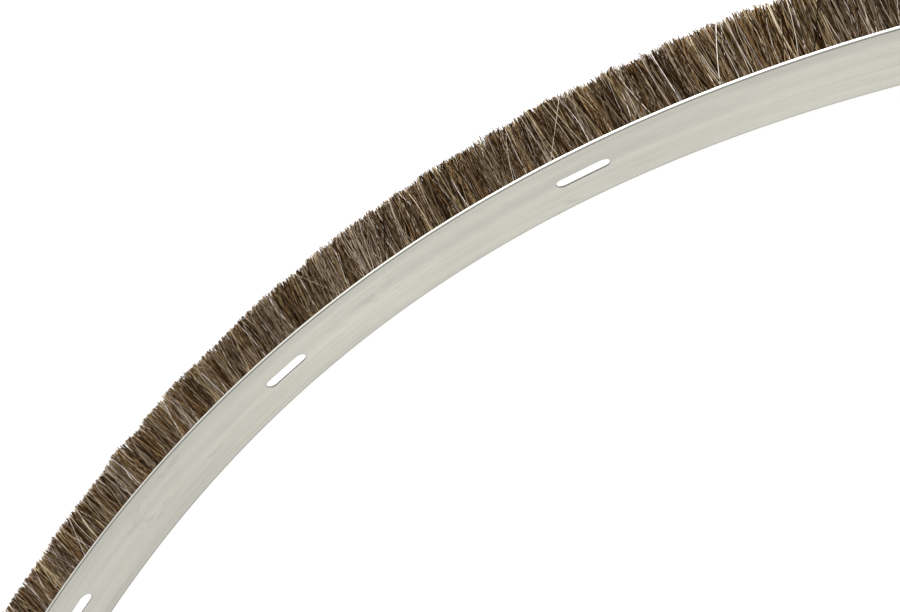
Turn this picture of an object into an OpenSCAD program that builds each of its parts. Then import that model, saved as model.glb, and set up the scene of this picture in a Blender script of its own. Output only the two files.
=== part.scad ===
// Curved brush seal strip.
// A thin metal band is bent to an arc and stands on its long lower edge, with round-ended fixing slots
// cut radially through it. Its top edge is turned over a little to make a rim. Horsehair, folded round a
// core wire, sits under the rim on the band's outer side, on a J-shaped rail, and points outwards. Its tips
// part into tufts.
// Heights are counted up from the band's lower edge, radii from the axis of the arc.

/* [Arc] */
// Radius of the band's inner face
bend_r = 480; // [300:10:1200]
// Length of the strip, measured along its inner face
strip_len = 1000; // [400:10:1200]

/* [Flange band] */
// Height of the band from its lower edge to the top of its rim
band_h = 34; // [32:0.5:80]
// Thickness of the band's sheet
sheet_t = 1; // [0.8:0.1:3]
// How far the turned rim stands out past the sheet's outer face
lip_reach = 0.4; // [0.2:0.1:2]
// Thickness of the turned rim
lip_t = 0.8; // [0.5:0.1:2]
// Radius of the rounded inner corner of the rim
rim_round = 0.4; // [0.1:0.1:0.7]

/* [Slots] */
// End to end length of a fixing slot
slot_len = 22; // [10:0.5:60]
// Width of a fixing slot, and the diameter of its round ends
slot_w = 5.5; // [3:0.5:9]
// Distance between slot centres along the inner face
slot_pitch = 150; // [80:5:400]
// Least distance from a slot's centre to the end of the strip
slot_end_margin = 40; // [35:5:150]
// Depth of the slots' centre line below the top of the rim
slot_drop = 15.5; // [15:0.5:25]

/* [Hair] */
// Thickness of the hair pack where it is held
root_t = 3.2; // [2:0.1:8]
// Thickness of the hair pack at its tips
tip_t = 6.4; // [3:0.1:20]
// Length of hair that stands out past the band's outer face
hair_reach = 25.5; // [12:0.5:80]
// Depth of the straight part of the pack, from the band to where the hair fans out
root_depth = 5.5; // [4:0.1:10]

/* [Tufts] */
// Length of arc that one tuft takes up at the tips
tuft_pitch = 6.5; // [5:0.5:20]
// Depth of the deepest notch between two tufts
tuft_notch = 2.4; // [0.5:0.1:5]
// Opening angle of a notch
tuft_angle = 50; // [30:5:80]

/* [Core wire] */
// Diameter of the core wire
wire_d = 1.6; // [1:0.1:2]
// Thickness of the hair folded between the wire and the band
hair_wrap = 0.7; // [0.3:0.1:2]
// Clearance left round the wire and behind the hair
hair_gap = 0.05; // [0.02:0.01:0.2]

/* [Clamp rail] */
// Thickness of the rail's metal
rail_t = 0.8; // [0.5:0.1:2]
// Height of the rail's leg on the band, below the hair
rail_leg = 6; // [3:0.5:8]
// How far the rail's shelf reaches out past the band's outer face
rail_shelf = 4.6; // [3:0.1:8]
// Height of the nose that the rail's shelf ends in
nose_h = 0.7; // [0.3:0.1:1.5]

/* [Hidden] */
$fn = 96;

arc_deg = strip_len / bend_r * 180 / PI;
start_deg = 90 - arc_deg / 2;
outer_r = bend_r + sheet_t;
tip_r = outer_r + hair_reach;

// Heights of the hair where it is held, under the rim
root_top = band_h - lip_t;
root_low = root_top - root_t;
root_mid = (root_top + root_low) / 2;

// Centre of the core wire, in the fold of the hair
wire_r = outer_r + hair_wrap + wire_d / 2;

// The slots lie evenly either side of the strip's middle
slot_side = floor((strip_len / 2 - slot_end_margin) / slot_pitch);
slot_z = band_h - slot_drop;
slot_step_deg = slot_pitch / bend_r * 180 / PI;
cut_over = 5;

// The tufts share the arc of the tips evenly
tufts = floor(tip_r * arc_deg * PI / 180 / tuft_pitch);
tuft_deg = arc_deg / tufts;
notch_over = 1;

// Some notches are deeper than others, alike on both sides of the strip's middle
function notch_depth(i) = tuft_notch * (0.65 + 0.35 * sin(abs(i - tufts / 2) * 137));

// The origin is below the middle of the whole strip's outline
y_low = bend_r * sin(start_deg);
y_high = tip_r;
origin_y = (y_low + y_high) / 2;

// Turns a section, drawn as radius and height, along the arc
module along_arc() {
    translate([0, -origin_y, 0])
        rotate([0, 0, start_deg])
            rotate_extrude(angle = arc_deg, $fn = 240)
                children();
}

// Band sheet with the turned rim at its top outer corner
module band_section() {
    square_top = band_h - rim_round;
    translate([bend_r, 0])
        square([sheet_t, square_top]);
    translate([bend_r + rim_round, root_top])
        square([sheet_t - rim_round + lip_reach, lip_t]);
    intersection() {
        translate([bend_r + rim_round, square_top])
            circle(r = rim_round);
        translate([bend_r, square_top])
            square([rim_round, rim_round]);
    }
    translate([bend_r + rim_round, square_top])
        square([sheet_t - rim_round, rim_round]);
}

// Leg on the band, shelf under the hair and nose behind the wire
module rail_section() {
    shelf_low = root_low - rail_t;
    translate([outer_r, root_low - rail_leg])
        square([rail_t, rail_leg]);
    translate([outer_r, shelf_low])
        square([rail_shelf, rail_t]);
    translate([outer_r + rail_shelf - rail_t, shelf_low])
        square([rail_t, rail_t + nose_h - rail_t / 2]);
    translate([outer_r + rail_shelf - rail_t / 2, root_low + nose_h - rail_t / 2])
        circle(d = rail_t);
}

// Straight where it is held, then fanning out evenly to the tips
module hair_outline() {
    polygon([
        [outer_r + hair_gap, root_low],
        [outer_r + root_depth, root_low],
        [tip_r, root_mid - tip_t / 2],
        [tip_r, root_mid + tip_t / 2],
        [outer_r + root_depth, root_top],
        [outer_r + hair_gap, root_top]
    ]);
}

// One V-shaped notch between two tufts, with its point towards the axis of the arc
module tuft_gap(depth) {
    reach = depth + notch_over;
    half_w = reach * tan(tuft_angle / 2);
    translate([tip_r - depth, 0, root_mid - tip_t])
        linear_extrude(height = 2 * tip_t)
            polygon([[0, 0], [reach, -half_w], [reach, half_w]]);
}

// One slot through the band, its length along the arc
module slot_cut() {
    for (side = [-1, 1])
        translate([side * (slot_len - slot_w) / 2, 0, 0])
            cylinder(d = slot_w, h = sheet_t + 2 * cut_over, center = true);
    cube([slot_len - slot_w, slot_w, sheet_t + 2 * cut_over], center = true);
}

module flange_band() {
    color([0.79, 0.79, 0.75])
        difference() {
            along_arc()
                band_section();
            for (i = [-slot_side : slot_side])
                translate([0, -origin_y, slot_z])
                    rotate([0, 0, i * slot_step_deg])
                        translate([0, bend_r + sheet_t / 2, 0])
                            rotate([90, 0, 0])
                                slot_cut();
        }
}

module clamp_rail() {
    color([0.72, 0.73, 0.72])
        along_arc()
            rail_section();
}

module core_wire() {
    color([0.55, 0.55, 0.53])
        along_arc()
            translate([wire_r, root_mid])
                circle(d = wire_d);
}

module bristles() {
    color([0.27, 0.19, 0.13])
        difference() {
            along_arc()
                difference() {
                    hair_outline();
                    rail_section();
                    translate([wire_r, root_mid])
                        circle(d = wire_d + 2 * hair_gap);
                }
            for (i = [1 : tufts - 1])
                translate([0, -origin_y, 0])
                    rotate([0, 0, start_deg + i * tuft_deg])
                        tuft_gap(notch_depth(i));
        }
}

flange_band();
clamp_rail();
core_wire();
bristles();
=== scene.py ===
# %% [markdown]
# # A curved brush seal strip
# The object is a thin metal band, bent to an arc and standing on its long lower edge, with slots for its
# fixing screws. Dark horsehair points outwards from under the band's top rim. The metal pieces are already
# packed as solids, so they are loaded and given their finish here. The hair is grown strand by strand.

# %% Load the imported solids
import math

import bpy
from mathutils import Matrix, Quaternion, Vector


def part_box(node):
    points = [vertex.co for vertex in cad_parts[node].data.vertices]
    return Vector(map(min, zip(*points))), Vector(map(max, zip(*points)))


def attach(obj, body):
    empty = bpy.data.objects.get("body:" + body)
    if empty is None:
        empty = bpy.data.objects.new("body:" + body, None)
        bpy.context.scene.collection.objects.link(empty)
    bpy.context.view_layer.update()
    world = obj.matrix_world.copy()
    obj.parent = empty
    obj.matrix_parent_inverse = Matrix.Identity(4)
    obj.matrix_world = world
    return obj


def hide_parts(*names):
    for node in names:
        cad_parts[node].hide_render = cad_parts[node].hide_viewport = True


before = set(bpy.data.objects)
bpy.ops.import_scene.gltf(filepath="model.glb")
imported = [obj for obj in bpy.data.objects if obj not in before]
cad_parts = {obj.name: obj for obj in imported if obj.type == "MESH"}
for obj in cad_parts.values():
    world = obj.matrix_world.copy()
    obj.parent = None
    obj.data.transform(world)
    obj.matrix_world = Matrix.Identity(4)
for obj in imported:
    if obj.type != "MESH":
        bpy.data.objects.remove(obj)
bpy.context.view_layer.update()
bpy.ops.object.select_all(action="DESELECT")
print("packed nodes:", sorted(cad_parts))

# %% [markdown]
# ## Sizes
# Everything that is added here follows the same arc as the solids, so the strip's own sizes are repeated in
# metres. The arc's centre lies behind the origin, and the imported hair's box tells how far.

# %% Sizes of the strip
MM = 0.001
BEND_R = 480 * MM
STRIP_LEN = 1000 * MM
BAND_H = 34 * MM
SHEET_T = 1 * MM
LIP_REACH = 0.4 * MM
LIP_T = 0.8 * MM
RIM_ROUND = 0.4 * MM
SLOT_LEN = 22 * MM
SLOT_W = 5.5 * MM
SLOT_PITCH = 150 * MM
SLOT_DROP = 15.5 * MM
SLOTS_A_SIDE = 3
ROOT_T = 3.2 * MM
TIP_T = 6.4 * MM
HAIR_REACH = 25.5 * MM
WIRE_D = 1.6 * MM
HAIR_WRAP = 0.7 * MM
RAIL_T = 0.8 * MM
RAIL_LEG = 6 * MM
RAIL_SHELF = 4.6 * MM
NOSE_H = 0.7 * MM

OUTER_R = BEND_R + SHEET_T
TIP_R = OUTER_R + HAIR_REACH
ARC = STRIP_LEN / BEND_R
ROOT_TOP = BAND_H - LIP_T
ROOT_LOW = ROOT_TOP - ROOT_T
ROOT_MID = (ROOT_TOP + ROOT_LOW) / 2
SLOT_Z = BAND_H - SLOT_DROP

band_low, band_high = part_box("flange_band")
hair_low, hair_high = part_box("bristles")
ARC_CENTRE = Vector((0, hair_high.y - TIP_R, 0))
print("arc centre, y in mm:", round(ARC_CENTRE.y / MM, 2), "band height:", round(band_high.z / MM, 2))

# %% [markdown]
# ## Floor, light and camera
# A pale floor carries a soft shadow. To the camera and to reflections the floor and the world glow, so that
# they look as white as a studio sweep without more light falling on the strip. A broad lamp overhead and the
# world give plain, even light. The camera stands above the hollow side of the arc and is rolled to one side.

# %% Small helpers for node trees
def link(tree, source, socket):
    """Feeds a socket from another socket, or sets it to a plain value."""
    if isinstance(source, bpy.types.NodeSocket):
        tree.links.new(source, socket)
    else:
        socket.default_value = source


def math_node(tree, operation, *values, clamp=False):
    """One step of arithmetic in a node tree."""
    node = tree.nodes.new("ShaderNodeMath")
    node.operation = operation
    node.use_clamp = clamp
    for socket, value in zip(node.inputs, values):
        link(tree, value, socket)
    return node.outputs[0]


def vector_node(tree, operation, *values):
    """One step of vector arithmetic in a node tree."""
    node = tree.nodes.new("ShaderNodeVectorMath")
    node.operation = operation
    for socket, value in zip(node.inputs, values):
        link(tree, value, socket)
    return node.outputs[0]


def combine(tree, x, y, z):
    """A vector from three numbers."""
    node = tree.nodes.new("ShaderNodeCombineXYZ")
    for socket, value in zip(node.inputs, (x, y, z)):
        link(tree, value, socket)
    return node.outputs[0]


def new_material(name):
    """A material with nothing in it but a Principled shader and its output."""
    material = bpy.data.materials.new(name)
    material.use_nodes = True
    tree = material.node_tree
    tree.nodes.clear()
    shader = tree.nodes.new("ShaderNodeBsdfPrincipled")
    output = tree.nodes.new("ShaderNodeOutputMaterial")
    tree.links.new(shader.outputs[0], output.inputs["Surface"])
    return material, tree, shader


def looked_at(tree):
    """1 for what the camera sees, also in a reflection or through glass, and 0 for light that is passed on."""
    ray = tree.nodes.new("ShaderNodeLightPath")
    mirrored = math_node(tree, "MAXIMUM", ray.outputs["Is Glossy Ray"], ray.outputs["Is Transmission Ray"])
    return math_node(tree, "MAXIMUM", ray.outputs["Is Camera Ray"], mirrored)


# %% The floor
FLOOR_SIZE = 12.0
FLOOR_GLOW = 0.76

bpy.ops.mesh.primitive_plane_add(size=FLOOR_SIZE, location=(0, 0, 0))
floor = bpy.context.object
floor.name = "floor"
floor_material, tree, shader = new_material("pale_floor")
shader.inputs["Base Color"].default_value = (0.45, 0.45, 0.447, 1)
shader.inputs["Roughness"].default_value = 0.9
shader.inputs["Specular IOR Level"].default_value = 0.1
shader.inputs["Emission Color"].default_value = (1, 1, 1, 1)
link(tree, math_node(tree, "MULTIPLY", looked_at(tree), FLOOR_GLOW), shader.inputs["Emission Strength"])
floor.data.materials.append(floor_material)

# %% The world and the lamps
def soft_lamp(name, place, aim, size, power):
    """A square area lamp at a place, turned to face another place."""
    bpy.ops.object.light_add(type="AREA", location=place)
    lamp = bpy.context.object
    lamp.name = name
    lamp.data.size = size
    lamp.data.energy = power
    lamp.rotation_euler = (Vector(aim) - Vector(place)).to_track_quat("-Z", "Y").to_euler()
    return lamp


WORLD_LIGHT = 0.45
WORLD_SEEN = 1.0

world = bpy.data.worlds.new("studio")
bpy.context.scene.world = world
world.use_nodes = True
tree = world.node_tree
glow = math_node(tree, "MULTIPLY", looked_at(tree), WORLD_SEEN - WORLD_LIGHT)
strength = math_node(tree, "ADD", glow, WORLD_LIGHT)
tree.nodes["Background"].inputs["Color"].default_value = (1, 1, 1, 1)
link(tree, strength, tree.nodes["Background"].inputs["Strength"])
soft_lamp("overhead_lamp", (0.35, 0.9, 1.5), (0.1, 0.1, 0), 1.1, 37)
soft_lamp("side_lamp", (-0.9, -0.7, 1.1), (0, 0, 0), 0.6, 4)
bpy.context.scene.view_settings.view_transform = "Standard"

# %% The camera, placed from the arc's centre
CAMERA_PLACE = ARC_CENTRE + Vector((161.4, 257.9, 313.3)) * MM
CAMERA_AIM = ARC_CENTRE + Vector((80.9, 440.7, 34.2)) * MM
CAMERA_ROLL = math.radians(-60.5)
CAMERA_LENS = 37.35

bpy.ops.object.camera_add(location=CAMERA_PLACE)
camera = bpy.context.object
camera.rotation_mode = "QUATERNION"
look = (CAMERA_AIM - CAMERA_PLACE).to_track_quat("-Z", "Y")
camera.rotation_quaternion = look @ Quaternion((0, 0, 1), CAMERA_ROLL)
camera.data.lens = CAMERA_LENS
camera.data.sensor_width = 36
camera.data.clip_start = 0.01
bpy.context.scene.camera = camera

# %% [markdown]
# ## Metal
# The band is mill-finished sheet. The rolling has left faint streaks along its length and handling has left
# a few dull smudges. The streaks have to bend with the arc, so the pattern is laid in arc coordinates:
# distance along the arc, height and radius, worked out from Object coordinates. The rail and the wire use
# the same group with other values.

# %% Shader group: streaks and stains that follow the arc
def arc_coordinates(tree):
    """Distance along the arc, height and radius of the point that is shaded."""
    place = tree.nodes.new("ShaderNodeTexCoord").outputs["Object"]
    split = tree.nodes.new("ShaderNodeSeparateXYZ")
    link(tree, vector_node(tree, "SUBTRACT", place, tuple(ARC_CENTRE)), split.inputs[0])
    x, y, z = split.outputs
    angle = math_node(tree, "ARCTAN2", x, y)
    flat = combine(tree, x, y, 0.0)
    length = tree.nodes.new("ShaderNodeVectorMath")
    length.operation = "LENGTH"
    link(tree, flat, length.inputs[0])
    return math_node(tree, "MULTIPLY", angle, BEND_R), z, length.outputs["Value"]


def stretched_noise(tree, along, height, radius, scales, detail=2.0, roughness=0.5):
    """Noise whose grains are longer one way than another."""
    place = combine(
        tree,
        math_node(tree, "MULTIPLY", along, scales[0]),
        math_node(tree, "MULTIPLY", height, scales[1]),
        math_node(tree, "MULTIPLY", radius, scales[2]),
    )
    noise = tree.nodes.new("ShaderNodeTexNoise")
    link(tree, place, noise.inputs["Vector"])
    noise.inputs["Scale"].default_value = 1.0
    noise.inputs["Detail"].default_value = detail
    noise.inputs["Roughness"].default_value = roughness
    return noise.outputs[0]


def between(tree, value, low, high):
    """0 at low, 1 at high and an even ramp between."""
    node = tree.nodes.new("ShaderNodeMapRange")
    link(tree, value, node.inputs["Value"])
    node.inputs["From Min"].default_value = low
    node.inputs["From Max"].default_value = high
    return node.outputs[0]


mill = bpy.data.node_groups.new("mill_finish", "ShaderNodeTree")
for name, start in (("Streaks", 1.0), ("Stains", 1.0)):
    socket = mill.interface.new_socket(name, in_out="INPUT", socket_type="NodeSocketFloat")
    socket.default_value = start
mill.interface.new_socket("Metal", in_out="INPUT", socket_type="NodeSocketColor")
mill.interface.new_socket("Color", in_out="OUTPUT", socket_type="NodeSocketColor")
mill.interface.new_socket("Roughness", in_out="OUTPUT", socket_type="NodeSocketFloat")
mill.interface.new_socket("Height", in_out="OUTPUT", socket_type="NodeSocketFloat")
given = mill.nodes.new("NodeGroupInput")
result = mill.nodes.new("NodeGroupOutput")
along, height, radius = arc_coordinates(mill)
fine = stretched_noise(mill, along, height, radius, (9, 1500, 1500), 3)
broad = stretched_noise(mill, along, height, radius, (4, 210, 210), 3)
cloud = stretched_noise(mill, along, height, radius, (17, 45, 45), 4, 0.6)
spots = stretched_noise(mill, along, height, radius, (130, 330, 330), 3, 0.55)
streak = math_node(mill, "SUBTRACT", math_node(mill, "ADD", fine, broad), 1.0)
streak = math_node(mill, "MULTIPLY", streak, given.outputs["Streaks"])
stain = math_node(mill, "MULTIPLY", between(mill, cloud, 0.58, 0.74), between(mill, spots, 0.5, 0.66))
stain = math_node(mill, "MULTIPLY", stain, given.outputs["Stains"])
uneven = math_node(mill, "ADD", math_node(mill, "MULTIPLY", cloud, 0.2), math_node(mill, "MULTIPLY", spots, 0.1))
shade = math_node(mill, "ADD", 0.85, math_node(mill, "MULTIPLY", streak, 0.4))
shade = math_node(mill, "ADD", shade, uneven)
shade = math_node(mill, "SUBTRACT", shade, math_node(mill, "MULTIPLY", stain, 0.2))
tint = mill.nodes.new("ShaderNodeVectorMath")
tint.operation = "SCALE"
link(mill, given.outputs["Metal"], tint.inputs[0])
link(mill, shade, tint.inputs["Scale"])
link(mill, tint.outputs[0], result.inputs["Color"])
rough = math_node(mill, "ADD", 0.4, math_node(mill, "MULTIPLY", streak, 0.16))
rough = math_node(mill, "ADD", rough, math_node(mill, "MULTIPLY", stain, 0.15))
link(mill, rough, result.inputs["Roughness"])
link(mill, math_node(mill, "SUBTRACT", streak, stain), result.inputs["Height"])


# %% Metal materials
METALLIC = 0.85


def mill_metal(name, color, streaks, stains, bump):
    """Sheet metal with the mill finish group at its own strength; returns what its colour can be changed by."""
    material, tree, shader = new_material(name)
    finish = tree.nodes.new("ShaderNodeGroup")
    finish.node_tree = mill
    finish.inputs["Streaks"].default_value = streaks
    finish.inputs["Stains"].default_value = stains
    finish.inputs["Metal"].default_value = (*color, 1)
    link(tree, finish.outputs["Color"], shader.inputs["Base Color"])
    link(tree, finish.outputs["Roughness"], shader.inputs["Roughness"])
    shader.inputs["Metallic"].default_value = METALLIC
    relief = tree.nodes.new("ShaderNodeBump")
    relief.inputs["Distance"].default_value = bump
    relief.inputs["Strength"].default_value = 0.5
    link(tree, finish.outputs["Height"], relief.inputs["Height"])
    link(tree, relief.outputs["Normal"], shader.inputs["Normal"])
    return material, tree, shader, finish


def mixed(tree, share, first, second):
    """One colour where share is 0, another where it is 1."""
    node = tree.nodes.new("ShaderNodeMix")
    node.data_type = "RGBA"
    link(tree, share, node.inputs[0])
    link(tree, first, node.inputs[6])
    link(tree, second, node.inputs[7])
    return node.outputs[2]


rail_metal = mill_metal("rail_aluminium", (0.46, 0.46, 0.44), 1.2, 0.6, 0.00002)[0]
wire_metal = mill_metal("drawn_wire", (0.36, 0.355, 0.34), 1.4, 0.4, 0.00001)[0]

# %% [markdown]
# ## The band's edges
# Where the sheet was sheared and punched, the metal is bare and bright: on the rim's top, on the lower edge
# and inside the slots. A thin dark line of painted shade runs along the rim's rounded inner corner. The face's
# colour carries painted shade just under the rim and painted light towards the lower edge, it is darker over the
# last few millimetres above the lower edge, and one long stretch carries painted shade. These are masks of height,
# radius and distance along the arc, mixed over the mill finish.

# %% The band's metal
BARE_METAL = (0.56, 0.55, 0.5, 1)
# painted shade for the rim's rounded inner corner, and how wide it is
CORNER_SHADE_METAL = (0.2, 0.2, 0.18, 1)
# darker colour for the lower edge and for the painted shade on one stretch
DARKER_METAL = (0.3, 0.3, 0.27, 1)
EDGE_SKIN = 0.12 * MM
CORNER_SHADE_W = 0.55 * MM
# ends of one stretch, mostly left of the strip's middle, that is darkened as painted shade
SHADE_STRETCH_RIGHT = (20 * MM, -80 * MM)
SHADE_STRETCH_LEFT = (-320 * MM, -200 * MM)

band_metal, tree, shader, finish = mill_metal("mill_aluminium", (0.562, 0.552, 0.491), 1.0, 1.0, 0.00002)
along, height, radius = arc_coordinates(tree)
in_sheet = math_node(tree, "GREATER_THAN", radius, BEND_R + EDGE_SKIN)
below_skin = math_node(tree, "LESS_THAN", radius, OUTER_R - EDGE_SKIN)
in_rim = math_node(tree, "GREATER_THAN", height, ROOT_TOP)
cut = math_node(tree, "MULTIPLY", in_sheet, below_skin)
bare = math_node(tree, "MAXIMUM", cut, math_node(tree, "MULTIPLY", in_sheet, in_rim))
in_corner = math_node(tree, "LESS_THAN", radius, BEND_R + CORNER_SHADE_W)
# Painted shade: a thin dark line along the rim's rounded inner corner
corner_shade = math_node(tree, "MULTIPLY", in_corner, between(tree, height, BAND_H - CORNER_SHADE_W, BAND_H - CORNER_SHADE_W / 2))
# Painted shade and light on the face: its colour is darker just under the rim and lighter towards the lower edge
lower = math_node(tree, "ADD", 0.83, math_node(tree, "MULTIPLY", between(tree, height, BAND_H, 0.0), 0.38))
# The face is darker towards its lower edge: a little over the last 6 mm and more over the last millimetre
darker_towards_bottom = math_node(tree, "MULTIPLY", between(tree, height, 6 * MM, 0.0), 0.12)
darkening = math_node(tree, "ADD", darker_towards_bottom, math_node(tree, "MULTIPLY", between(tree, height, 1.2 * MM, 0.3 * MM), 0.45))
# Painted shade: one long stretch, mostly left of the strip's middle, is darkened
painted_shade_stretch = math_node(tree, "MULTIPLY", between(tree, along, *SHADE_STRETCH_RIGHT), between(tree, along, *SHADE_STRETCH_LEFT))
darkening = math_node(tree, "ADD", darkening, math_node(tree, "MULTIPLY", painted_shade_stretch, 0.25))
metallic = math_node(tree, "SUBTRACT", METALLIC, math_node(tree, "MULTIPLY", cut, 0.55))
link(tree, metallic, shader.inputs["Metallic"])
face = tree.nodes.new("ShaderNodeVectorMath")
face.operation = "SCALE"
link(tree, finish.outputs["Color"], face.inputs[0])
link(tree, lower, face.inputs["Scale"])
# Darkens the lower edge and paints shade on one stretch
color = mixed(tree, darkening, face.outputs[0], DARKER_METAL)
color = mixed(tree, bare, color, BARE_METAL)
color = mixed(tree, corner_shade, color, CORNER_SHADE_METAL)
link(tree, color, shader.inputs["Base Color"])
print("metal finishes:", [m.name for m in bpy.data.materials])

# %% [markdown]
# ## Turning the metal along the arc
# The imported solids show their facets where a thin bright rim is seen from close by. The visible metal is
# therefore spun again in finer steps. A flat face with the section's corners is made at one end of the strip
# and spun along the arc in edit mode, which leaves a closed solid. Corners are short arcs, so the edges catch
# the light as real ones do. A guard point on each side of such an arc keeps its rounded shading away from the
# flat face next to it.

# %% Spin a section along the arc
EDGE_ROUND = 0.1 * MM
RIM_EDGE = 0.25 * MM
GUARD = 0.3 * MM


def corner_arc(r, z, radius, first, steps=2):
    """A quarter circle around (r, z) in the section, from the angle first, anticlockwise."""
    turns = [math.radians(first + 90 * step / steps) for step in range(steps + 1)]
    return [(r + radius * math.cos(turn), z + radius * math.sin(turn)) for turn in turns]


def spin_section(name, corners, steps, end_gap=0.0):
    """A solid with this section, spun from one end of the strip to the other."""
    bpy.ops.object.select_all(action="DESELECT")
    bpy.ops.mesh.primitive_circle_add(vertices=len(corners), fill_type="NGON")
    piece = bpy.context.object
    piece.name = name
    first = math.pi / 2 - ARC / 2 + end_gap / BEND_R
    for vertex, (r, z) in zip(piece.data.vertices, corners):
        vertex.co = ARC_CENTRE + Vector((r * math.cos(first), r * math.sin(first), z))
    turn = ARC - 2 * end_gap / BEND_R
    bpy.ops.object.mode_set(mode="EDIT")
    bpy.ops.mesh.select_all(action="SELECT")
    bpy.ops.mesh.spin(steps=steps, angle=turn, center=ARC_CENTRE, axis=(0, 0, -1))
    bpy.ops.mesh.select_all(action="SELECT")
    bpy.ops.mesh.remove_doubles(threshold=0.000001)
    bpy.ops.mesh.normals_make_consistent(inside=False)
    bpy.ops.object.mode_set(mode="OBJECT")
    print(name, "vertices:", len(piece.data.vertices), "faces:", len(piece.data.polygons))
    return piece


def finish_metal(piece, material, node):
    """Smooth shading, its metal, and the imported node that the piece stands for."""
    bpy.ops.object.select_all(action="DESELECT")
    piece.select_set(True)
    bpy.context.view_layer.objects.active = piece
    bpy.ops.object.shade_smooth_by_angle(angle=math.radians(40))
    piece.data.materials.append(material)
    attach(piece, "root")
    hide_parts(node)


# %% The band with its turned rim
band_sheet = spin_section(
    "band_sheet",
    [
        (BEND_R, EDGE_ROUND + GUARD),
        *corner_arc(BEND_R + EDGE_ROUND, EDGE_ROUND, EDGE_ROUND, 180),
        *corner_arc(OUTER_R - EDGE_ROUND, EDGE_ROUND, EDGE_ROUND, 270),
        (OUTER_R, EDGE_ROUND + GUARD),
        (OUTER_R, ROOT_TOP),
        *corner_arc(OUTER_R + LIP_REACH - EDGE_ROUND, ROOT_TOP + EDGE_ROUND, EDGE_ROUND, 270),
        *corner_arc(OUTER_R + LIP_REACH - RIM_EDGE, BAND_H - RIM_EDGE, RIM_EDGE, 0, 4),
        *corner_arc(BEND_R + RIM_ROUND, BAND_H - RIM_ROUND, RIM_ROUND, 90, 5),
        (BEND_R, BAND_H - RIM_ROUND - GUARD),
    ],
    400,
)

# %% [markdown]
# ## Punching the slots
# A cutter has the slot's outline and flares out past both faces of the sheet, so that the cut leaves a small
# chamfer. It is a cylinder whose two halves are moved apart. The cutters are joined and taken away from the
# band with one boolean modifier, which is then applied.

# %% Model the slot cutters
CUTTER_SIDES = 48
CUTTER_FLARE = 1.5 * MM
SLOT_CHAMFER = 0.22 * MM


def model_cutter(number):
    """A cutter for one slot, counted from the middle of the strip."""
    wall = SHEET_T - 2 * SLOT_CHAMFER
    bpy.ops.mesh.primitive_cylinder_add(vertices=CUTTER_SIDES, radius=SLOT_W / 2, depth=wall, end_fill_type="NGON")
    cutter = bpy.context.object
    bpy.ops.object.mode_set(mode="EDIT")
    bpy.ops.mesh.select_all(action="SELECT")
    bpy.ops.transform.rotate(value=math.pi / CUTTER_SIDES, orient_axis="Z", center_override=(0, 0, 0))
    bpy.ops.mesh.select_mode(type="FACE")
    for side in (-1, 1):
        bpy.ops.mesh.select_all(action="DESELECT")
        bpy.ops.object.mode_set(mode="OBJECT")
        for face in cutter.data.polygons:
            face.select = face.normal.z * side > 0.9
        bpy.ops.object.mode_set(mode="EDIT")
        bpy.ops.mesh.extrude_region_move(TRANSFORM_OT_translate={"value": (0, 0, side * CUTTER_FLARE)})
    bpy.ops.object.mode_set(mode="OBJECT")
    turn = SLOT_PITCH / BEND_R * number
    for vertex in cutter.data.vertices:
        place = vertex.co.copy()
        flare = max(0.0, abs(place.z) - wall / 2)
        place.xy *= 1 + flare / (SLOT_W / 2)
        place.x += math.copysign((SLOT_LEN - SLOT_W) / 2, place.x)
        r = BEND_R + SHEET_T / 2 + place.z
        vertex.co = ARC_CENTRE + Vector((
            place.x * math.cos(turn) - r * math.sin(turn),
            place.x * math.sin(turn) + r * math.cos(turn),
            SLOT_Z + place.y,
        ))
    bpy.ops.object.mode_set(mode="EDIT")
    bpy.ops.mesh.select_all(action="SELECT")
    bpy.ops.mesh.normals_make_consistent(inside=False)
    bpy.ops.object.mode_set(mode="OBJECT")
    return cutter


cutters = [model_cutter(number) for number in range(-SLOTS_A_SIDE, SLOTS_A_SIDE + 1)]
bpy.ops.object.select_all(action="DESELECT")
for cutter in cutters:
    cutter.select_set(True)
bpy.context.view_layer.objects.active = cutters[0]
bpy.ops.object.join()
cutter = bpy.context.object
punch = band_sheet.modifiers.new("punch", "BOOLEAN")
punch.operation = "DIFFERENCE"
punch.solver = "EXACT"
punch.object = cutter
bpy.context.view_layer.objects.active = band_sheet
bpy.ops.object.modifier_apply(modifier="punch")
bpy.data.objects.remove(cutter)
finish_metal(band_sheet, band_metal, "flange_band")
print("band faces after punching:", len(band_sheet.data.polygons))

# %% The rail under the hair and the wire inside it
SHELF_LOW = ROOT_LOW - RAIL_T
LEG_LOW = ROOT_LOW - RAIL_LEG
NOSE_MID = (OUTER_R + RAIL_SHELF - RAIL_T / 2, ROOT_LOW + NOSE_H - RAIL_T / 2)

rail_strip = spin_section(
    "rail_strip",
    [
        *corner_arc(OUTER_R + EDGE_ROUND, LEG_LOW + EDGE_ROUND, EDGE_ROUND, 180),
        *corner_arc(OUTER_R + RAIL_T - EDGE_ROUND, LEG_LOW + EDGE_ROUND, EDGE_ROUND, 270),
        (OUTER_R + RAIL_T, LEG_LOW + EDGE_ROUND + GUARD),
        (OUTER_R + RAIL_T, SHELF_LOW),
        (OUTER_R + RAIL_SHELF - RIM_ROUND - GUARD, SHELF_LOW),
        *corner_arc(OUTER_R + RAIL_SHELF - RIM_ROUND, SHELF_LOW + RIM_ROUND, RIM_ROUND, 270, 4),
        *corner_arc(*NOSE_MID, RAIL_T / 2, 0, 4),
        *corner_arc(*NOSE_MID, RAIL_T / 2, 90, 4)[1:],
        (OUTER_R + RAIL_SHELF - RAIL_T, ROOT_LOW),
        (OUTER_R, ROOT_LOW),
    ],
    400,
)
finish_metal(rail_strip, rail_metal, "clamp_rail")

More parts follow.
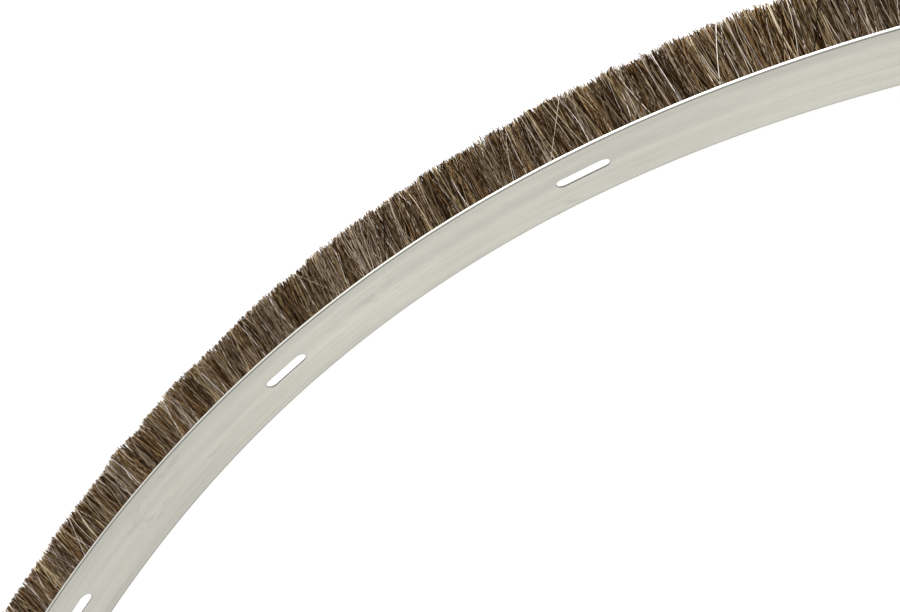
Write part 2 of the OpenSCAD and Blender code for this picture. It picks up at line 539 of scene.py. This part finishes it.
WIRE_R = OUTER_R + HAIR_WRAP + WIRE_D / 2
wire_round = spin_section(
    "wire_round",
    [corner for first in (0, 90, 180, 270) for corner in corner_arc(WIRE_R, ROOT_MID, WIRE_D / 2, first, 4)[:-1]],
    300,
)
finish_metal(wire_round, wire_metal, "core_wire")

# %% [markdown]
# ## Hair material
# Each strand carries three numbers on its mesh: a tone, which says how dark or fair the hair is, its warmth,
# and how far along the strand a point lies. The tone also carries painted shade, darker in the heart of the pack.
# The tone picks a colour from nearly black over brown to fair, and the warmth casts it grey, olive or chestnut,
# less so where it is fair. Small patches of noise break each strand into lighter and darker stretches. The strands
# are paler towards their cut tips.

# %% The hair's colours
HAIR_TONES = (
    (0.0, (0.008, 0.004, 0.0015)),
    (0.25, (0.033, 0.018, 0.007)),
    (0.5, (0.15, 0.102, 0.058)),
    (0.7, (0.32, 0.245, 0.165)),
    (0.85, (0.52, 0.435, 0.31)),
    (1.0, (0.82, 0.73, 0.58)),
)
HAIR_CASTS = (
    (0.1, (0.95, 0.98, 1.16)),
    (0.5, (1.03, 1.03, 0.86)),
    (0.9, (1.3, 0.94, 0.66)),
)


def read_number(tree, name):
    """A number that the mesh carries under this name."""
    node = tree.nodes.new("ShaderNodeAttribute")
    node.attribute_name = name
    return node.outputs["Fac"]


def color_of(tree, value, stops):
    """The colour that a value has between these stops."""
    ramp = tree.nodes.new("ShaderNodeValToRGB")
    while len(ramp.color_ramp.elements) < len(stops):
        ramp.color_ramp.elements.new(0.5)
    for stop, (place, color) in zip(ramp.color_ramp.elements, stops):
        stop.position = place
        stop.color = (*color, 1)
    link(tree, value, ramp.inputs[0])
    return ramp.outputs["Color"]


hair_material, tree, shader = new_material("horsehair")
faded = math_node(tree, "SUBTRACT", 1.25, read_number(tree, "tone"), clamp=True)
warmth = math_node(tree, "MULTIPLY", read_number(tree, "warmth"), faded)
tone = color_of(tree, read_number(tree, "tone"), HAIR_TONES)
color = vector_node(tree, "MULTIPLY", tone, color_of(tree, warmth, HAIR_CASTS))
# Paler towards the cut tips, rising sharply near the end of each strand
tip = math_node(tree, "POWER", read_number(tree, "along"), 5.0)
along, height, radius = arc_coordinates(tree)
patches = stretched_noise(tree, along, height, radius, (1400, 1400, 260), 2)
light = math_node(tree, "ADD", 0.3, math_node(tree, "MULTIPLY", patches, 1.2))
light = math_node(tree, "ADD", light, math_node(tree, "MULTIPLY", tip, 0.8))
shade = tree.nodes.new("ShaderNodeVectorMath")
shade.operation = "SCALE"
link(tree, color, shade.inputs[0])
link(tree, light, shade.inputs["Scale"])
link(tree, shade.outputs[0], shader.inputs["Base Color"])
shader.inputs["Roughness"].default_value = 0.6
shader.inputs["Specular IOR Level"].default_value = 0.02

# %% [markdown]
# ## One strand
# Horsehair is trimmed square, so a strand is a thin three-sided rod and not a pointed cone. It is modelled
# one metre long and one metre thick, so that its later scale is its real size. Its long edges are cut in
# three, which lets it bow. It has only a few faces, because it is repeated tens of thousands of times.

# %% Model the strand
def model_strand():
    """A closed three-sided rod with its foot at the origin and a number along it at each vertex."""
    bpy.ops.mesh.primitive_cylinder_add(vertices=3, radius=0.5, depth=1, location=(0, 0, 0.5))
    strand = bpy.context.object
    strand.name = "one_strand"
    bpy.ops.object.transform_apply(location=True)
    bpy.ops.object.mode_set(mode="EDIT")
    bpy.ops.mesh.select_all(action="DESELECT")
    bpy.ops.object.mode_set(mode="OBJECT")
    for edge in strand.data.edges:
        ends = [strand.data.vertices[i].co.z for i in edge.vertices]
        edge.select = abs(ends[0] - ends[1]) > 0.5
    bpy.ops.object.mode_set(mode="EDIT")
    bpy.ops.mesh.select_mode(type="EDGE")
    bpy.ops.mesh.subdivide(number_cuts=2)
    bpy.ops.object.mode_set(mode="OBJECT")
    along = strand.data.attributes.new("along", "FLOAT", "POINT")
    for vertex, value in zip(strand.data.vertices, along.data):
        value.value = vertex.co.z
    strand.data.materials.append(hair_material)
    return strand


strand = model_strand()
print("strand faces:", len(strand.data.polygons))

# %% [markdown]
# ## Growing the hair
# Geometry Nodes scatters points along the arc, under the rim. At each point stands one strand, turned
# outwards. Slow noise along the arc combs the strands to one side or the other, faster noise gathers them
# into tufts and trims those to slightly different lengths, and every strand adds a little of its own.
# The instances are realized and the modifier applied, so that the result is plain mesh. The strip is grown
# in runs, because one mesh of all the hair would be too large to handle.

# %% Values for the hair
RUNS = 7
STRANDS_A_RUN = 6200
STRAND_D = (0.18 * MM, 0.38 * MM)
COMB_ALL = math.radians(7.4)
COMB_SLOW = math.radians(5)
SLOW_PITCH = 245 * MM
SLOW_START = 690 * MM
COMB_TUFT = math.radians(3)
COMB_WAVE = math.radians(7)
COMB_EACH = math.radians(9)
STRAY_SHARE = 0.1
STRAY_LEAN = math.radians(24)
TRIM_TUFT = 2.0 * MM
TRIM_EACH = 1.6 * MM
TRIM_STRETCH = 3 * MM
STRETCH_START = (790 * MM, 880 * MM)
STRETCH_END = (1060 * MM, 970 * MM)
BOW = 1.8 * MM
CURL = 0.7 * MM
TUFT_PITCH = 6.5 * MM
TONE_PITCH = 4 * MM
FAIR_SHARE = 0.18
FAIR_LESS = 0.06 * MM


# %% Fields for the hair
def random_number(tree, low, high, seed):
    """A number of its own for each point."""
    node = tree.nodes.new("FunctionNodeRandomValue")
    node.data_type = "FLOAT"
    node.inputs[2].default_value = low
    node.inputs[3].default_value = high
    node.inputs["Seed"].default_value = seed
    return node.outputs[1]


def wave_along(tree, distance, pitch, offset, detail=1.0):
    """Smooth noise between about -1 and 1 along the arc."""
    noise = tree.nodes.new("ShaderNodeTexNoise")
    noise.noise_dimensions = "1D"
    shifted = math_node(tree, "ADD", math_node(tree, "DIVIDE", distance, pitch), offset)
    link(tree, shifted, noise.inputs["W"])
    noise.inputs["Scale"].default_value = 1.0
    noise.inputs["Detail"].default_value = detail
    return math_node(tree, "MULTIPLY", math_node(tree, "SUBTRACT", noise.outputs[0], 0.5), 2.0)


def tuft_number(tree, tuft, low, high, seed):
    """A number that all strands of one tuft share."""
    noise = tree.nodes.new("ShaderNodeTexWhiteNoise")
    noise.noise_dimensions = "1D"
    link(tree, math_node(tree, "ADD", math_node(tree, "MULTIPLY", tuft, 1.7), 31.3 * seed), noise.inputs["W"])
    return math_node(tree, "ADD", math_node(tree, "MULTIPLY", noise.outputs["Value"], high - low), low)


def times(tree, value, factor):
    """A field made larger or smaller."""
    return math_node(tree, "MULTIPLY", value, factor)


def total(tree, *values):
    """The sum of several fields."""
    result = values[0]
    for value in values[1:]:
        result = math_node(tree, "ADD", result, value)
    return result


def keep_on_points(tree, geometry, name, kind, value):
    """Stores a field under a name, so that it stays on the strands."""
    node = tree.nodes.new("GeometryNodeStoreNamedAttribute")
    node.domain = "POINT"
    node.data_type = kind
    link(tree, geometry, node.inputs["Geometry"])
    node.inputs["Name"].default_value = name
    socket = next(s for s in node.inputs if s.name == "Value" and s.enabled)
    link(tree, value, socket)
    return node.outputs[0]


def read_named(tree, name, kind):
    """Reads a stored field again."""
    node = tree.nodes.new("GeometryNodeInputNamedAttribute")
    node.data_type = kind
    node.inputs["Name"].default_value = name
    return next(s for s in node.outputs if s.name == "Attribute" and s.enabled)


# %% The tree that grows one run
def grow_tree(run):
    """Geometry Nodes for one run of the strip, counted from its right end."""
    tree = bpy.data.node_groups.new(f"grow_run_{run + 1}", "GeometryNodeTree")
    tree.interface.new_socket("Geometry", in_out="OUTPUT", socket_type="NodeSocketGeometry")
    tree.is_modifier = True
    seed = 100 * run
    points = tree.nodes.new("GeometryNodePoints")
    points.inputs["Count"].default_value = STRANDS_A_RUN

    # Where on the arc each strand stands
    index = tree.nodes.new("GeometryNodeInputIndex").outputs[0]
    share = math_node(tree, "DIVIDE", total(tree, index, random_number(tree, 0, 1, seed + 1)), STRANDS_A_RUN)
    start = math.pi / 2 - ARC / 2 + ARC * run / RUNS
    angle = total(tree, times(tree, share, ARC / RUNS), start)
    distance = times(tree, angle, BEND_R)
    cos_a = math_node(tree, "COSINE", angle)
    sin_a = math_node(tree, "SINE", angle)
    outward = combine(tree, cos_a, sin_a, 0.0)
    sideways = combine(tree, times(tree, sin_a, -1.0), cos_a, 0.0)

    tuft = total(tree, math_node(tree, "DIVIDE", distance, TUFT_PITCH), wave_along(tree, distance, TUFT_PITCH * 2.5, 7.9))
    tuft = math_node(tree, "FLOOR", tuft)

    # How high in the pack it stands, from -1 at the bottom to 1 at the top, with more strands near the outside
    spread = random_number(tree, -1, 1, seed + 2)
    edge = math_node(tree, "POWER", math_node(tree, "ABSOLUTE", spread), 0.6)
    level = math_node(tree, "MULTIPLY", math_node(tree, "SIGN", spread), edge)
    edge = math_node(tree, "POWER", edge, 2.0)
    foot_r = total(tree, times(tree, math_node(tree, "SUBTRACT", 1.0, edge), 2.2 * MM), OUTER_R + 0.45 * MM)
    foot_low = ROOT_LOW + NOSE_H + 0.15 * MM
    foot_high = ROOT_TOP - 0.12 * MM
    foot_z = total(tree, times(tree, level, (foot_high - foot_low) / 2), (foot_high + foot_low) / 2)
    tip_z = total(tree, times(tree, level, TIP_T / 2 - 0.2 * MM), ROOT_MID, random_number(tree, -0.7 * MM, 0.7 * MM, seed + 3))

    # How it is combed: in slow waves, tuft by tuft and strand by strand, with a few strays
    slow = times(tree, math_node(tree, "SUBTRACT", distance, SLOW_START), 2 * math.pi / SLOW_PITCH)
    stray = math_node(tree, "LESS_THAN", random_number(tree, 0, 1, seed + 4), STRAY_SHARE)
    lean = total(
        tree,
        COMB_ALL,
        times(tree, math_node(tree, "COSINE", slow), -COMB_SLOW),
        tuft_number(tree, tuft, -COMB_TUFT, COMB_TUFT, 1),
        times(tree, wave_along(tree, distance, TUFT_PITCH, 47.1, 2.0), COMB_WAVE),
        random_number(tree, -COMB_EACH, COMB_EACH, seed + 5),
        times(tree, stray, random_number(tree, -STRAY_LEAN, STRAY_LEAN, seed + 6)),
    )

    # How far out it reaches once the tips are trimmed, which is a little less on one stretch
    stretch = math_node(
        tree, "MULTIPLY", between(tree, distance, *STRETCH_START), between(tree, distance, *STRETCH_END)
    )
    trim = total(
        tree,
        times(tree, stretch, TRIM_STRETCH),
        tuft_number(tree, tuft, 0.0, TRIM_TUFT, 2),
        times(tree, math_node(tree, "POWER", random_number(tree, 0, 1, seed + 7), 2.0), TRIM_EACH),
    )
    reach = math_node(tree, "SUBTRACT", math_node(tree, "SUBTRACT", TIP_R, foot_r), trim)
    rise = math_node(tree, "SUBTRACT", tip_z, foot_z)
    aside = math_node(tree, "MULTIPLY", reach, math_node(tree, "TANGENT", lean))

    def along_axes(out, side, up):
        """A vector from its parts outwards, along the arc and up."""
        flat = vector_node(tree, "ADD", scaled(outward, out), scaled(sideways, side))
        return vector_node(tree, "ADD", flat, combine(tree, 0.0, 0.0, up))

    def scaled(vector, factor):
        """A vector made longer or shorter."""
        node = tree.nodes.new("ShaderNodeVectorMath")
        node.operation = "SCALE"
        link(tree, vector, node.inputs[0])
        link(tree, factor, node.inputs["Scale"])
        return node.outputs[0]

    foot = vector_node(tree, "ADD", scaled(outward, foot_r), tuple(ARC_CENTRE))
    foot = vector_node(tree, "ADD", foot, combine(tree, 0.0, 0.0, foot_z))
    body = along_axes(reach, aside, rise)
    span = tree.nodes.new("ShaderNodeVectorMath")
    span.operation = "LENGTH"
    link(tree, body, span.inputs[0])

    # Tone: the heart of the pack is painted darker as shade, neighbours share a little, and a few strands are fair
    fair = math_node(tree, "LESS_THAN", random_number(tree, 0, 1, seed + 8), FAIR_SHARE)
    tone = total(
        tree,
        random_number(tree, -0.1, 0.6, seed + 9),
        tuft_number(tree, tuft, -0.06, 0.06, 3),
        times(tree, wave_along(tree, distance, TONE_PITCH, 5.7, 2.0), 0.2),
        # Painted shade: strands in the middle of the pack are darker, those at its top and bottom lighter
        times(tree, edge, 0.12),
        math_node(tree, "MULTIPLY", fair, random_number(tree, 0.1, 0.45, seed + 14)),
    )
    warmth = total(
        tree,
        tuft_number(tree, tuft, 0.2, 0.8, 4),
        times(tree, wave_along(tree, distance, TONE_PITCH * 0.7, 61.7, 2.0), 0.6),
        random_number(tree, -0.4, 0.4, seed + 15),
    )

    geometry = keep_on_points(tree, points.outputs[0], "tone", "FLOAT", tone)
    geometry = keep_on_points(tree, geometry, "warmth", "FLOAT", warmth)
    bow = along_axes(
        0.0,
        random_number(tree, -BOW, BOW, seed + 10),
        random_number(tree, -BOW / 2, BOW / 2, seed + 11),
    )
    curl = along_axes(
        0.0,
        random_number(tree, -CURL, CURL, seed + 16),
        random_number(tree, -CURL / 2, CURL / 2, seed + 17),
    )
    geometry = keep_on_points(tree, geometry, "bow", "FLOAT_VECTOR", bow)
    geometry = keep_on_points(tree, geometry, "curl", "FLOAT_VECTOR", curl)
    place = tree.nodes.new("GeometryNodeSetPosition")
    link(tree, geometry, place.inputs["Geometry"])
    link(tree, foot, place.inputs["Position"])

    roll = tree.nodes.new("FunctionNodeEulerToRotation")
    link(tree, combine(tree, 0.0, 0.0, random_number(tree, 0, 2 * math.pi, seed + 12)), roll.inputs[0])
    turn = tree.nodes.new("FunctionNodeAlignRotationToVector")
    turn.axis = "Z"
    link(tree, roll.outputs[0], turn.inputs["Rotation"])
    link(tree, body, turn.inputs["Vector"])
    thick = math_node(
        tree,
        "SUBTRACT",
        random_number(tree, *STRAND_D, seed + 13),
        times(tree, fair, FAIR_LESS),
    )

    model = tree.nodes.new("GeometryNodeObjectInfo")
    model.inputs["Object"].default_value = strand
    stand = tree.nodes.new("GeometryNodeInstanceOnPoints")
    link(tree, place.outputs[0], stand.inputs["Points"])
    link(tree, model.outputs["Geometry"], stand.inputs["Instance"])
    link(tree, turn.outputs[0], stand.inputs["Rotation"])
    link(tree, combine(tree, thick, thick, span.outputs["Value"]), stand.inputs["Scale"])
    real = tree.nodes.new("GeometryNodeRealizeInstances")
    link(tree, stand.outputs[0], real.inputs[0])

    # Each strand bows more and more towards its tip, and curls a little in its middle
    along = read_named(tree, "along", "FLOAT")
    middle = times(tree, math_node(tree, "MULTIPLY", along, math_node(tree, "SUBTRACT", 1.0, along)), 4.0)
    sag = scaled(read_named(tree, "bow", "FLOAT_VECTOR"), math_node(tree, "POWER", along, 2.0))
    curled = scaled(read_named(tree, "curl", "FLOAT_VECTOR"), middle)
    bend = tree.nodes.new("GeometryNodeSetPosition")
    link(tree, real.outputs[0], bend.inputs["Geometry"])
    link(tree, vector_node(tree, "ADD", sag, curled), bend.inputs["Offset"])
    last = bend.outputs[0]
    for name in ("bow", "curl"):
        forget = tree.nodes.new("GeometryNodeRemoveAttribute")
        link(tree, last, forget.inputs["Geometry"])
        forget.inputs["Name"].default_value = name
        last = forget.outputs[0]
    output = tree.nodes.new("NodeGroupOutput")
    link(tree, last, output.inputs[0])
    return tree


# %% Grow every run
for run in range(RUNS):
    bpy.ops.object.select_all(action="DESELECT")
    bpy.ops.mesh.primitive_plane_add(size=0.01, location=(0, 0, 0))
    hair = bpy.context.object
    hair.name = f"horsehair_run_{run + 1}"
    modifier = hair.modifiers.new("grow", "NODES")
    modifier.node_group = grow_tree(run)
    bpy.ops.object.modifier_apply(modifier="grow")
    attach(hair, "root")
    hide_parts("bristles")
    triangles = sum(len(face.vertices) - 2 for face in hair.data.polygons)
    print(hair.name, "triangles:", triangles, "materials:", [m.name for m in hair.data.materials])
bpy.data.objects.remove(strand)

# %% [markdown]
# ## The heart of the pack
# Thousands of strands would still let light through between them, where the real pack is imported solid with
# A slim body inside the pack closes those gaps; its near-black colour is painted shade for the deep inside of the
# pack. Its profile is a thin wedge, spun along the arc.

# %% Spin the heart of the pack
HEART_START = 0.15 * MM
HEART_REACH = 20 * MM
HEART_SHRINK = 0.25 * MM
HEART_END = 0.35 * MM


def heart_profile():
    """The wedge's corners as radius and height, going round once."""
    held = 5.5 * MM
    tip_half = 1.9 * MM
    low = ROOT_LOW + NOSE_H + HEART_SHRINK
    high = ROOT_TOP - HEART_SHRINK
    return (
        (OUTER_R + HEART_START, low),
        (OUTER_R + held, low),
        (OUTER_R + HEART_REACH, ROOT_MID - tip_half),
        (OUTER_R + HEART_REACH, ROOT_MID + tip_half),
        (OUTER_R + held, high),
        (OUTER_R + HEART_START, high),
    )


heart = spin_section("hair_heart", heart_profile(), 180, HEART_END)
highest = max(vertex.co.y for vertex in heart.data.vertices)
print("heart, highest y in mm:", round(highest / MM, 2), "of", round(hair_high.y / MM, 2))

# %% The heart's painted shade, streaked like hair
heart_material, tree, shader = new_material("hair_heart_shade")
along, height, radius = arc_coordinates(tree)
lines = stretched_noise(tree, along, height, radius, (2600, 900, 40), 2)
# Painted shade: the heart's colour is near black, for the deep inside of the pack
deep_shade = color_of(tree, lines, ((0.35, (0.008, 0.004, 0.0015)), (0.7, (0.065, 0.039, 0.018))))
link(tree, deep_shade, shader.inputs["Base Color"])
shader.inputs["Roughness"].default_value = 0.9
shader.inputs["Specular IOR Level"].default_value = 0.02
heart.data.materials.append(heart_material)
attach(heart, "root")
